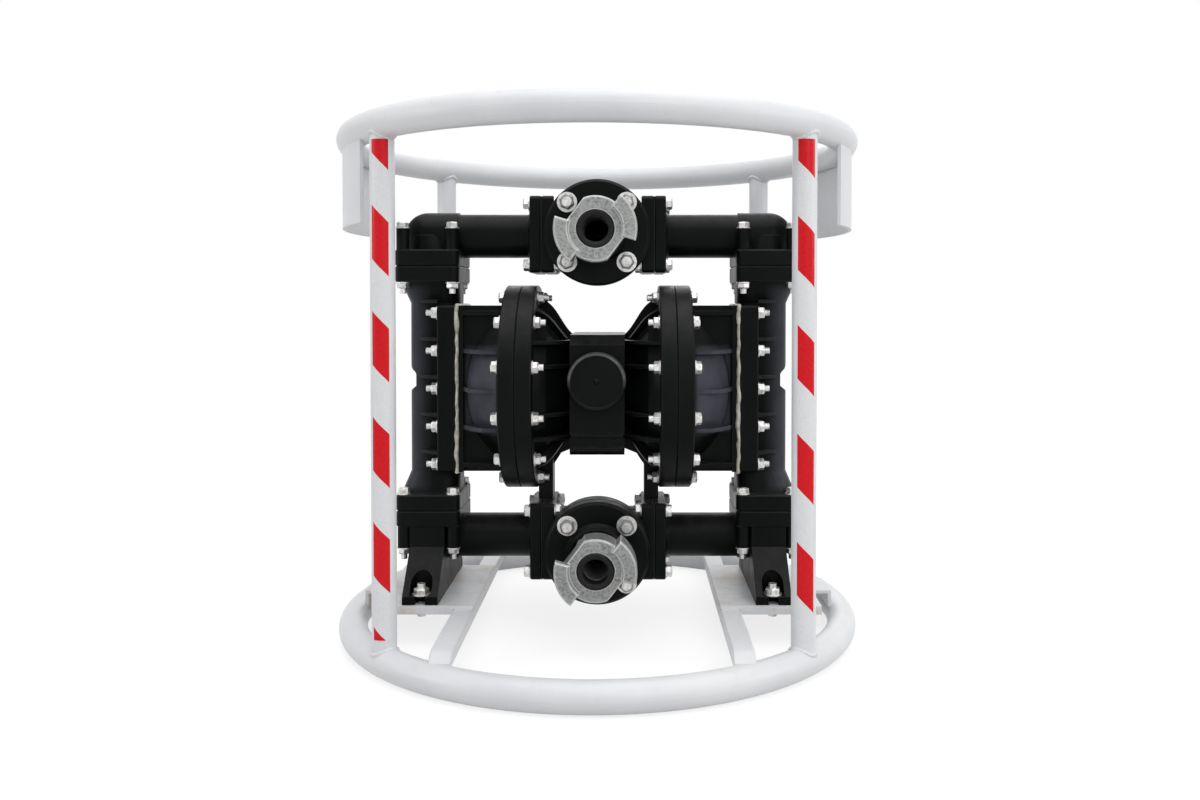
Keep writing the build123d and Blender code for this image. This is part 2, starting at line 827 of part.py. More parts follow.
# ---------------------------------------------------------------- check valves
ball_seat_rise = math.sqrt(ball_radius**2 - seat_inner**2) + running_gap
seat_levels = {"discharge": block_top, "suction": block_bottom + seat_thick}
with BuildPart() as valve_seats:
    for seat_top in seat_levels.values():
        with BuildSketch(Plane.XY.offset(seat_top)):
            with Locations((column_axis, 0)):
                Circle(seat_outer)
                Circle(seat_inner, mode=Mode.SUBTRACT)
        extrude(amount=-seat_thick)
    mirror(about=Plane.YZ)
save(valve_seats.part, "valve_seats")

for label, seat_top in seat_levels.items():
    with BuildPart() as ball:
        with Locations((column_axis, 0, seat_top + ball_seat_rise)):
            Sphere(ball_radius)
    save_pair(ball.part, f"{label}_ball")

# ---------------------------------------------------------------- shaft and diaphragms
plate_outer = plate_inner + plate_thick
web_outer = plate_outer + web_thick
with BuildPart() as main_shaft:
    with BuildSketch(Plane.YZ):
        with Locations((0, shaft_height)):
            Circle(shaft_radius)
    extrude(amount=web_outer + 5, both=True)
save(main_shaft.part, "main_shaft")

with BuildPart() as shaft_bushes:
    with BuildSketch(Plane.YZ.offset(block_half_width - bush_length)):
        with Locations((0, shaft_height)):
            Circle(bush_outer)
            Circle(shaft_radius + running_gap, mode=Mode.SUBTRACT)
    extrude(amount=bush_length + 18)
    mirror(about=Plane.YZ)
save(shaft_bushes.part, "shaft_bushes")

with BuildPart() as inner_plate:
    with BuildSketch(Plane.YZ.offset(plate_inner)):
        with Locations((0, shaft_height)):
            Circle(plate_radius)
            Circle(shaft_radius, mode=Mode.SUBTRACT)
    extrude(amount=plate_thick)
save_pair(inner_plate.part, "inner_plate")

with BuildPart() as outer_plate:
    with BuildSketch(Plane.XZ):
        with BuildLine():
            Polyline(
                (web_outer, shaft_height),
                (web_outer, shaft_height + plate_radius),
                (web_outer + 3, shaft_height + plate_radius),
                (web_outer + 11, shaft_height + 24),
                (web_outer + 13, shaft_height),
                close=True,
            )
        make_face()
    revolve(axis=shaft_line)
    with BuildSketch(Plane.YZ.offset(web_outer)):
        with Locations((0, shaft_height)):
            Circle(shaft_radius)
    extrude(amount=5, mode=Mode.SUBTRACT)
save_pair(outer_plate.part, "outer_plate")

# Diaphragm: web between the plates, one rolled fold, and the bead that the flanges hold
with BuildPart() as diaphragm:
    with BuildSketch(Plane.XZ):
        with BuildLine():
            Polyline(
                (plate_outer, shaft_height + shaft_radius),
                (web_outer, shaft_height + shaft_radius),
                (web_outer, shaft_height + plate_radius + 4),
                (plate_outer - 6, shaft_height + 62),
                (plate_outer - 9, shaft_height + 74),
                (plate_outer - 4, shaft_height + 88),
                (split_x + 2, shaft_height + 98),
                (split_x + 2, shaft_height + 108),
                (split_x - 2, shaft_height + 108),
                (split_x - 2, shaft_height + 100),
                (plate_outer - 7, shaft_height + 89),
                (plate_outer - 12, shaft_height + 74),
                (plate_outer - 9, shaft_height + 60),
                (plate_outer, shaft_height + plate_radius + 3),
                close=True,
            )
        make_face()
    revolve(axis=shaft_line)
save_pair(diaphragm.part, "diaphragm")

pilot_half = plate_inner - stroke + pilot_stroke - pilot_gap
with BuildPart() as pilot_rod:
    with BuildSketch(Plane.YZ):
        with Locations((0, pilot_height)):
            Circle(pilot_radius)
    extrude(amount=pilot_half, both=True)
save(pilot_rod.part, "pilot_rod")

# ---------------------------------------------------------------- air valve on the rear
spool_y = block_rear + ring_gasket + valve_depth / 2
with BuildPart() as air_valve_gasket:
    with BuildSketch(Plane.XZ.offset(-block_rear)):
        with Locations((0, shaft_height)):
            Rectangle(2 * block_half_width - 4, 2 * valve_rise - 6)
    extrude(amount=-ring_gasket)
save(air_valve_gasket.part, "air_valve_gasket")

with BuildPart() as air_valve_body:
    with BuildSketch(Plane.YZ):
        with Locations((spool_y, shaft_height)):
            RectangleRounded(valve_depth, 2 * valve_rise, valve_corner)
    extrude(amount=valve_half_width, both=True)
    # boss of the air inlet, with its tapped hole
    with BuildSketch(Plane.XZ.offset(-(spool_y + valve_depth / 2))):
        with Locations((0, shaft_height)):
            Circle(18)
    extrude(amount=-10)
    with BuildSketch(Plane.XZ.offset(-(spool_y + valve_depth / 2 + 10))):
        with Locations((0, shaft_height)):
            Circle(air_thread)
    extrude(amount=20, mode=Mode.SUBTRACT)
    with BuildSketch(Plane.YZ.offset(-valve_half_width)):
        with Locations((spool_y, shaft_height)):
            Circle(spool_radius + running_gap)
    extrude(amount=2 * valve_half_width, mode=Mode.SUBTRACT)
save(air_valve_body.part, "air_valve_body")

with BuildPart() as air_valve_end_caps:
    with BuildSketch(Plane.YZ.offset(valve_half_width)):
        with Locations((spool_y, shaft_height)):
            Circle(end_cap_radius)
    extrude(amount=end_cap_thick)
    mirror(about=Plane.YZ)
save(air_valve_end_caps.part, "air_valve_end_caps")

spool_half = valve_half_width - spool_travel - pilot_gap
with BuildPart() as air_valve_spool:
    with BuildSketch(Plane.YZ):
        with Locations((spool_y, shaft_height)):
            Circle(spool_radius - 4)
    extrude(amount=spool_half, both=True)
    for land in (-1, 0, 1):
        with BuildSketch(Plane.YZ.offset(land * land_pitch - land_width / 2)):
            with Locations((spool_y, shaft_height)):
                Circle(spool_radius)
        extrude(amount=land_width)
save(air_valve_spool.part, "air_valve_spool")


# ---------------------------------------------------------------- fasteners
# Heads on one side of a joint and nuts on the other: the shanks stay inside the solid flanges.
with BuildPart() as clamp_bolts:
    for face, amount in ((fluid_flange, m8_height), (air_flange, -m8_height)):
        with BuildSketch(Plane.YZ.offset(face)):
            with Locations((0, shaft_height)):
                with PolarLocations(clamp_circle / 2, 12, start_angle=15):
                    RegularPolygon(m8_hex, 6)
        extrude(amount=amount)
    mirror(about=Plane.YZ)
save(clamp_bolts.part, "clamp_bolts")

with BuildPart() as column_bolts:
    with BuildSketch(Plane.YZ.offset(column_start + column_flange)):
        with Locations((0, shaft_height)):
            with GridLocations(2 * row_depth, row_pitch, 2, 5):
                RegularPolygon(m8_hex, 6)
    extrude(amount=m8_height)
    mirror(about=Plane.YZ)
save(column_bolts.part, "column_bolts")

elbow_bolt_faces = (
    (block_top + block_thick + boss_height, m8_height),
    (block_top - block_thick, -m8_height),
    (block_bottom + block_thick, m8_height),
    (block_bottom - block_thick - boss_height, -m8_height),
)
with BuildPart() as elbow_bolts:
    for face, amount in elbow_bolt_faces:
        with BuildSketch(Plane.XY.offset(face)):
            with Locations((block_middle, 0)):
                with GridLocations(bolt_span_x, bolt_span_y, 2, 2):
                    RegularPolygon(m8_hex, 6)
        extrude(amount=amount)
    mirror(about=Plane.YZ)
save(elbow_bolts.part, "elbow_bolts")

with BuildPart() as tee_bolts:
    for face, amount in ((elbow_face + elbow_flange, m8_height), (tee_half - tee_flange, -m8_nut)):
        with BuildSketch(Plane.YZ.offset(face)):
            for axis_height in (upper_axis, lower_axis):
                with Locations((0, axis_height)):
                    with GridLocations(2 * tee_bolt_offset, 2 * tee_bolt_offset, 2, 2):
                        RegularPolygon(m8_hex, 6)
        extrude(amount=amount)
    mirror(about=Plane.YZ)
save(tee_bolts.part, "tee_bolts")

with BuildPart() as port_bolts:
    for axis_height, droop, label in ports:
        add(Location((0, 0, axis_height), (droop, 0, 0)) * build_port_bolts())
save(port_bolts.part, "port_bolts")

with BuildPart() as foot_bolts:
    for face, amount in ((pad_top + toe_thick, m10_height), (pad_top - sheet, -m10_height)):
        with BuildSketch(Plane.XY.offset(face)):
            with Locations((foot_x, 0)):
                with GridLocations(0, 2 * foot_bolt_y, 1, 2):
                    RegularPolygon(m10_hex, 6)
        extrude(amount=amount)
    mirror(about=Plane.YZ)
save(foot_bolts.part, "foot_bolts")

with BuildPart() as air_valve_bolts:
    with BuildSketch(Plane.XZ.offset(-(spool_y + valve_depth / 2))):
        with Locations((0, shaft_height)):
            with GridLocations(2 * valve_half_width - 18, 2 * valve_rise - 18, 2, 2):
                RegularPolygon(m8_hex, 6)
    extrude(amount=-m8_height)
save(air_valve_bolts.part, "air_valve_bolts")
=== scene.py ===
import bpy
import bmesh
import json
import math
import random
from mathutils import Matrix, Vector, noise


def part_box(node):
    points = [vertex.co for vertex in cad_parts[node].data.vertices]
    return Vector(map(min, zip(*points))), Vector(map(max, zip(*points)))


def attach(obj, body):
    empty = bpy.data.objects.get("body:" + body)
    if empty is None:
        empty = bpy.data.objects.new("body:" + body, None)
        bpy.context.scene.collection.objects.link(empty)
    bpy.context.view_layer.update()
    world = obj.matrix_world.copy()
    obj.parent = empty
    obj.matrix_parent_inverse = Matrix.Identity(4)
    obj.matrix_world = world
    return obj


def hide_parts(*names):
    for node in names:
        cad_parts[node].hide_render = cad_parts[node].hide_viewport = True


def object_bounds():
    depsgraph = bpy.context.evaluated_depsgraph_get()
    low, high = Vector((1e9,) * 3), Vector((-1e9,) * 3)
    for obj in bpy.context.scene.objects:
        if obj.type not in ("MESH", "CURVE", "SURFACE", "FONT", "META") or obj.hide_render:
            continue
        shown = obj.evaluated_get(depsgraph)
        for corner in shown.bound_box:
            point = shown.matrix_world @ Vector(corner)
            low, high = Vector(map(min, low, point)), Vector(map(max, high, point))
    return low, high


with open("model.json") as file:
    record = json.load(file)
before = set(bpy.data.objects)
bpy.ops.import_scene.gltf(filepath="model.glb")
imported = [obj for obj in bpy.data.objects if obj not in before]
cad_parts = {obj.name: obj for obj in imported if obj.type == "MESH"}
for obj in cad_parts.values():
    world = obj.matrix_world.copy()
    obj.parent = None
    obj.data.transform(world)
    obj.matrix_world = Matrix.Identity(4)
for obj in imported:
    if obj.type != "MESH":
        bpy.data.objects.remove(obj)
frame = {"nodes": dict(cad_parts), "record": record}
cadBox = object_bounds()
nodes = frame["nodes"]
scene = bpy.context.scene
print("frame loaded:", len(nodes), "nodes")


# small helpers for node trees

def plug(socket, value):
    # links a socket to a socket, or sets its constant
    if isinstance(value, bpy.types.NodeSocket):
        socket.id_data.links.new(value, socket)
    else:
        socket.default_value = value


def addNode(tree, kind, inputs=None, **settings):
    node = tree.nodes.new(kind)
    for name, value in settings.items():
        setattr(node, name, value)
    for name, value in (inputs or {}).items():
        plug(node.inputs[name], value)
    return node


class Shader:
    def __init__(self, name):
        self.material = bpy.data.materials.new(name)
        self.material.use_nodes = True
        self.tree = self.material.node_tree
        self.bsdf = self.tree.nodes["Principled BSDF"]
        self.coordinates = self.tree.nodes.new("ShaderNodeTexCoord")

    def add(self, kind, inputs=None, **settings):
        return addNode(self.tree, kind, inputs, **settings)

    def place(self, scale):
        inputs = {"Vector": self.coordinates.outputs["Object"], "Scale": scale}
        return self.add("ShaderNodeMapping", inputs).outputs[0]

    def noise(self, size, detail, vector=None, roughness=0.5):
        vector = vector or self.coordinates.outputs["Object"]
        inputs = {"Vector": vector, "Scale": 1 / size, "Detail": detail, "Roughness": roughness}
        return self.add("ShaderNodeTexNoise", inputs).outputs["Fac"]

    def ramp(self, factor, stops):
        node = self.add("ShaderNodeValToRGB", {"Fac": factor})
        elements = node.color_ramp.elements
        while len(elements) < len(stops):
            elements.new(0.5)
        for element, (place, value) in zip(elements, stops):
            element.position = place
            element.color = (*value, 1)
        return node.outputs["Color"]

    def grey(self, factor, low, high, start=0.3, end=0.7):
        node = self.add("ShaderNodeMapRange", {"Value": factor, "From Min": start, "From Max": end,
                                               "To Min": low, "To Max": high})
        return node.outputs[0]

    def mix(self, factor, first, second):
        node = self.add("ShaderNodeMix", data_type="RGBA")
        for index, value in ((0, factor), (6, first), (7, second)):
            plug(node.inputs[index], (*value, 1) if isinstance(value, tuple) else value)
        return node.outputs[2]

    def math(self, operation, first, second=0.0):
        return self.add("ShaderNodeMath", {0: first, 1: second}, operation=operation).outputs[0]

    def bump(self, height, strength, distance, rounded=0.0, after=None):
        inputs = {"Height": height, "Strength": strength, "Distance": distance}
        if rounded:
            inputs["Normal"] = self.add("ShaderNodeBevel", {"Radius": rounded}, samples=4).outputs[0]
        if after:
            inputs["Normal"] = after
        return self.add("ShaderNodeBump", inputs).outputs[0]


def edgeMask(s, radius, spread=0.12):
    # 1 close to a sharp edge, 0 on the open faces
    true = s.add("ShaderNodeNewGeometry").outputs["Normal"]
    soft = s.add("ShaderNodeBevel", {"Radius": radius}, samples=6).outputs[0]
    turned = s.add("ShaderNodeVectorMath", {0: true, 1: soft}, operation="DOT_PRODUCT")
    return s.grey(turned.outputs["Value"], 1.0, 0.0, 1 - spread, 0.995)


def whitePaint(paintedReflection=False):
    # gloss paint on welded pipe: slight orange peel, faint greying, a few dull patches
    s = Shader("reflectionPaintedWhitePaint" if paintedReflection else "whiteGlossPaint")
    cloud = s.noise(0.11, 4)
    base = s.ramp(cloud, [(0.3, (0.66, 0.67, 0.695)), (0.7, (0.74, 0.75, 0.765))])
    dust = s.grey(s.noise(0.02, 6, roughness=0.7), 0.0, 0.4, 0.56, 0.76)
    base = s.mix(dust, base, (0.6, 0.6, 0.59))
    if paintedReflection:
        # tan wash near the feet: a painted reflection of the pump on the pads
        spread = s.grey(s.noise(0.05, 5, roughness=0.6), 0.0, 0.6, 0.48, 0.7)
        base = s.mix(spread, base, (0.46, 0.35, 0.25))
    plug(s.bsdf.inputs["Base Color"], base)
    plug(s.bsdf.inputs["Roughness"], s.grey(cloud, 0.34, 0.5))
    s.bsdf.inputs["Specular IOR Level"].default_value = 0.4
    s.bsdf.inputs["Coat Weight"].default_value = 0.12
    s.bsdf.inputs["Coat Roughness"].default_value = 0.2
    peel = s.bump(s.noise(0.004, 2), 0.12, 0.0004, rounded=0.0012)
    plug(s.bsdf.inputs["Normal"], s.bump(s.noise(0.018, 2), 0.15, 0.0012, after=peel))
    return s.material


def blackPlastic(name="blackPolypropylene", paintedHighlight=None, rimHighlight=None):
    # glass-filled polypropylene: near black, grained mould skin, rubbed edges with a painted edge highlight,
    # and dust with a painted top light on what faces up
    s = Shader(name)
    grain = s.noise(0.0016, 3, roughness=0.6)
    flow = s.noise(0.012, 4, s.place((1, 1, 0.25)))
    base = s.ramp(s.noise(0.07, 3), [(0.3, (0.002, 0.0026, 0.0025)), (0.72, (0.0042, 0.0052, 0.005))])
    scuff = s.grey(s.noise(0.006, 5, s.place((1, 1, 3)), 0.75), 0.0, 0.4, 0.64, 0.84)
    wearWithPaintedLight = s.mix(scuff, base, (0.015, 0.0155, 0.0165))
    # rubbing and a painted edge highlight: paler along every sharp edge
    wearAndEdgeHighlight = s.math("MULTIPLY", edgeMask(s, 0.0016), s.grey(grain, 0.25, 0.8))
    wearWithPaintedLight = s.mix(wearAndEdgeHighlight, wearWithPaintedLight, (0.03, 0.031, 0.032))
    if paintedHighlight:
        # a paler, bluish painted highlight on part of the moulding, between two limits along one axis
        place = s.add("ShaderNodeSeparateXYZ", {"Vector": s.coordinates.outputs["Object"]})
        off = s.math("ABSOLUTE", s.math("SUBTRACT", place.outputs[paintedHighlight["axis"]], paintedHighlight["middle"]))
        amount = s.grey(off, paintedHighlight["near"], paintedHighlight["far"], paintedHighlight["from"], paintedHighlight["to"])
        height = s.math("SUBTRACT", place.outputs["Z"], middleHeight)
        for source, limit in paintedHighlight["within"]:
            distance = s.math("ABSOLUTE", height if source == "height" else place.outputs["X"])
            amount = s.math("MULTIPLY", amount, s.grey(distance, 0.0, 1.0, *limit))
        cloudy = s.grey(s.noise(0.03, 4), 0.6, 1.0)
        wearWithPaintedLight = s.mix(s.math("MULTIPLY", amount, cloudy), wearWithPaintedLight, paintedHighlight["colour"])
    if rimHighlight:
        # painted highlight: the upper half of a round rim that faces forward is paler
        ends = {0: s.coordinates.outputs["Object"], 1: rimHighlight["centre"]}
        shifted = s.add("ShaderNodeVectorMath", ends, operation="SUBTRACT").outputs[0]
        flat = s.add("ShaderNodeVectorMath", {0: shifted, 1: (1, 0, 1)}, operation="MULTIPLY").outputs[0]
        away = s.add("ShaderNodeVectorMath", {0: flat}, operation="LENGTH").outputs["Value"]
        above = s.add("ShaderNodeSeparateXYZ", {"Vector": shifted}).outputs["Z"]
        outside = s.grey(away, 0.0, 1.0, *rimHighlight["radii"])
        rim = s.math("MULTIPLY", outside, s.grey(above, 0.0, 1.0, *rimHighlight["heights"]))
        cloudy = s.grey(s.noise(0.01, 4), 0.6, 1.0)
        wearWithPaintedLight = s.mix(s.math("MULTIPLY", rim, cloudy), wearWithPaintedLight, rimHighlight["colour"])
    # dust and a painted top light: faces that point up are paler
    facing = s.add("ShaderNodeSeparateXYZ", {"Vector": s.add("ShaderNodeNewGeometry").outputs["Normal"]})
    dustAndTopLight = s.math("MULTIPLY", s.grey(facing.outputs["Z"], 0.0, 0.85, 0.3, 0.95),
                     s.grey(s.noise(0.02, 6, roughness=0.65), 0.45, 1.0, 0.35, 0.6))
    plug(s.bsdf.inputs["Base Color"], s.mix(dustAndTopLight, wearWithPaintedLight, (0.03, 0.0305, 0.0295)))
    plug(s.bsdf.inputs["Roughness"], s.grey(flow, 0.3, 0.44))
    s.bsdf.inputs["Specular IOR Level"].default_value = 0.08
    fine = s.bump(grain, 0.22, 0.0003, rounded=0.0011)
    plug(s.bsdf.inputs["Normal"], s.bump(flow, 0.1, 0.0009, after=fine))
    return s.material


def castAluminium():
    # sand-cast couplings: mottled skin with dirt in the pits, rubbed bright along the edges, partly a painted
    # edge highlight
    s = Shader("sandCastAluminium")
    pits = s.noise(0.0035, 5, roughness=0.7)
    patch = s.noise(0.014, 4)
    tones = [(0.36, (0.1, 0.105, 0.1)), (0.46, (0.26, 0.27, 0.262)), (0.68, (0.44, 0.45, 0.44))]
    base = s.ramp(pits, tones)
    base = s.mix(s.grey(patch, 0.0, 0.65), base, (0.3, 0.31, 0.3))
    # rubbing and a painted edge highlight: brighter along every sharp edge
    wearAndEdgeHighlight = s.grey(edgeMask(s, 0.003), 0.0, 0.9, 0.0, 1.0)
    plug(s.bsdf.inputs["Base Color"], s.mix(wearAndEdgeHighlight, base, (0.9, 0.9, 0.9)))
    s.bsdf.inputs["Metallic"].default_value = 0.6
    plug(s.bsdf.inputs["Roughness"], s.grey(pits, 0.36, 0.6))
    plug(s.bsdf.inputs["Normal"], s.bump(pits, 0.5, 0.0009, rounded=0.0016))
    return s.material


def zincSteel():
    # plated hexagons: bright with faint turning marks; the big port heads are weathered dull
    s = Shader("zincPlatedSteel")
    spots = s.noise(0.003, 4)
    weathered = s.add("ShaderNodeAttribute", attribute_name="weathered").outputs["Fac"]
    dull = s.grey(s.noise(0.009, 4), 0.0, 0.6, 0.5, 0.7)
    base = s.ramp(spots, [(0.3, (0.56, 0.555, 0.54)), (0.7, (0.84, 0.835, 0.82))])
    base = s.mix(dull, base, (0.34, 0.33, 0.3))
    base = s.mix(weathered, base, (0.2, 0.205, 0.2))
    plug(s.bsdf.inputs["Base Color"], base)
    s.bsdf.inputs["Metallic"].default_value = 0.9
    plug(s.bsdf.inputs["Roughness"], s.grey(spots, 0.3, 0.5))
    plug(s.bsdf.inputs["Normal"], s.bump(s.noise(0.0007, 2), 0.15, 0.0003, rounded=0.0008))
    return s.material


def turnedMetal(name, dark, light, roughness=0.2):
    s = Shader(name)
    rings = s.noise(0.0009, 2, s.place((8, 1, 1)))
    plug(s.bsdf.inputs["Base Color"], s.ramp(rings, [(0.3, dark), (0.7, light)]))
    s.bsdf.inputs["Metallic"].default_value = 1.0
    plug(s.bsdf.inputs["Roughness"], s.grey(rings, roughness, roughness + 0.14))
    plug(s.bsdf.inputs["Normal"], s.bump(rings, 0.1, 0.0002))
    return s.material


def softRubber():
    s = Shader("blackSealRubber")
    skin = s.noise(0.002, 4)
    plug(s.bsdf.inputs["Base Color"], s.ramp(skin, [(0.3, (0.0056,) * 3), (0.72, (0.0152,) * 3)]))
    plug(s.bsdf.inputs["Roughness"], s.grey(s.noise(0.008, 3), 0.5, 0.72))
    s.bsdf.inputs["Specular IOR Level"].default_value = 0.2
    plug(s.bsdf.inputs["Normal"], s.bump(skin, 0.3, 0.0004))
    return s.material


def creamSealant():
    s = Shader("creamSiliconeSealant")
    stain = s.noise(0.008, 4)
    base = s.ramp(stain, [(0.32, (0.26, 0.245, 0.2)), (0.62, (0.55, 0.53, 0.45))])
    plug(s.bsdf.inputs["Base Color"], base)
    plug(s.bsdf.inputs["Roughness"], s.grey(stain, 0.3, 0.5))
    s.bsdf.inputs["Subsurface Weight"].default_value = 0.08
    plug(s.bsdf.inputs["Normal"], s.bump(s.noise(0.0022, 3), 0.35, 0.0006))
    return s.material


def whiteFluoroplastic():
    s = Shader("whiteFluoroplastic")
    skin = s.noise(0.01, 3)
    base = s.ramp(skin, [(0.3, (0.66, 0.66, 0.63)), (0.7, (0.76, 0.76, 0.74))])
    plug(s.bsdf.inputs["Base Color"], base)
    plug(s.bsdf.inputs["Roughness"], s.grey(skin, 0.35, 0.5))
    plug(s.bsdf.inputs["Normal"], s.bump(s.noise(0.0009, 2), 0.1, 0.0002))
    return s.material


def lowHigh(name):
    low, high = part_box(name)
    return Vector(low), Vector(high)


materials = {
    "white_paint": whitePaint(),
    "black_plastic": blackPlastic(),
    "cast_aluminium": castAluminium(),
    "black_rubber": softRubber(),
    "cream_sealant": creamSealant(),
    "zinc_steel": zincSteel(),
    "bright_steel": turnedMetal("turnedSteel", (0.5, 0.5, 0.5), (0.72, 0.72, 0.71)),
    "white_ptfe": whiteFluoroplastic(),
    "bronze": turnedMetal("bushBronze", (0.42, 0.27, 0.1), (0.66, 0.46, 0.2), 0.28),
    "spool_aluminium": turnedMetal("hardAnodisedSpool", (0.2, 0.21, 0.22), (0.34, 0.35, 0.36), 0.3),
}
columnLow, columnHigh = lowHigh("valve_column_right")
chamberLow, chamberHigh = lowHigh("fluid_chamber_right")
middleHeight = (columnLow.z + columnHigh.z) / 2
mufflerLow, mufflerHigh = lowHigh("muffler")
mufflerRadius = (mufflerHigh.x - mufflerLow.x) / 2
finishes = {
    # the muffler's upper rim carries a painted highlight
    "muffler": blackPlastic("rimHighlightPolypropylene", rimHighlight={
        "centre": (mufflerLow + mufflerHigh) / 2, "radii": (mufflerRadius - 0.0044, mufflerRadius - 0.003),
        "heights": (-0.008, 0.006), "colour": (0.13, 0.132, 0.132)}),
    # painted highlights on the dome sides and on the outer column faces
    "fluid_chamber": blackPlastic("paintedHighlightDomePolypropylene", {
        "axis": "Z", "middle": middleHeight, "near": 1.0, "far": 0.0, "from": 0.046, "to": 0.056,
        "within": (("side", (0.116, 0.121)), ("side", (0.165, 0.162))), "colour": (0.068, 0.071, 0.088)}),
    "valve_column": blackPlastic("paintedHighlightColumnPolypropylene", {
        "axis": "X", "middle": 0.0, "near": 0.0, "far": 1.0, "from": 0.207, "to": 0.232,
        "within": (("height", (0.134, 0.122)),), "colour": (0.052, 0.055, 0.064)}),
    "mounting_pad": whitePaint(paintedReflection=True),
}
slotOf = {part["node"]: part["material_slot"] for part in frame["record"]["subparts"]}
for name, item in nodes.items():
    finish = finishes.get(name.rsplit("_", 1)[0], materials[slotOf[name]])
    for slot in item.material_slots:
        slot.material = finish
print("materials made:", len(materials) + len(finishes))


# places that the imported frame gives

def islands(name):
    # the corners of each loose solid in a fastener node
    mesh = bmesh.new()
    mesh.from_mesh(nodes[name].data)
    bmesh.ops.remove_doubles(mesh, verts=mesh.verts, dist=1e-6)
    unseen = set(mesh.verts)
    solids = []
    for start in mesh.verts:
        if start not in unseen:
            continue
        unseen.remove(start)
        pending = [start]
        group = [start.co.copy()]
        while pending:
            vertex = pending.pop()
            for link in vertex.link_edges:
                other = link.other_vert(vertex)
                if other in unseen:
                    unseen.remove(other)
                    pending.append(other)
                    group.append(other.co.copy())
        solids.append(group)
    mesh.free()
    return solids


def finishMesh(name, mesh, material, body, smooth=None):
    piece = bpy.data.objects.new(name, mesh)
    scene.collection.objects.link(piece)
    if not mesh.materials:
        mesh.materials.append(material)
    if smooth is not None:
        for polygon in mesh.polygons:
            polygon.use_smooth = True
        mesh.set_sharp_from_angle(angle=math.radians(smooth))
    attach(piece, body)
    return piece


# geometry node trees

def newTree(name, sizes, material):
    tree = bpy.data.node_groups.new(name, "GeometryNodeTree")
    tree.interface.new_socket("Geometry", in_out="INPUT", socket_type="NodeSocketGeometry")
    tree.interface.new_socket("Geometry", in_out="OUTPUT", socket_type="NodeSocketGeometry")
    for label, value in sizes.items():
        kind = "NodeSocketInt" if isinstance(value, int) else "NodeSocketFloat"
        tree.interface.new_socket(label, in_out="INPUT", socket_type=kind).default_value = value
    tree.nodes.new("NodeGroupInput").name = "in"
    tree.nodes.new("NodeGroupOutput").name = "out"
    coat = tree.nodes.new("GeometryNodeSetMaterial")
    coat.inputs["Material"].default_value = material
    real = tree.nodes.new("GeometryNodeRealizeInstances")
    tree.links.new(real.outputs[0], coat.inputs["Geometry"])
    tree.links.new(coat.outputs[0], tree.nodes["out"].inputs[0])
    return tree, real.inputs[0]


def runTree(name, mesh, tree, sizes):
    # evaluates a tree on a mesh and keeps the result as a plain mesh
    holder = bpy.data.objects.new(name, mesh)
    scene.collection.objects.link(holder)
    modifier = holder.modifiers.new("nodes", "NODES")
    modifier.node_group = tree
    for item in tree.interface.items_tree:
        if item.in_out == "INPUT" and item.name in sizes:
            modifier[item.identifier] = sizes[item.name]
    evaluated = holder.evaluated_get(bpy.context.evaluated_depsgraph_get())
    result = bpy.data.meshes.new_from_object(evaluated)
    bpy.data.objects.remove(holder)
    return result


bolt = {"prismShare": 0.8, "crownTaper": 0.86, "washerSides": 20, "threadSides": 12, "sunk": 0.0003}


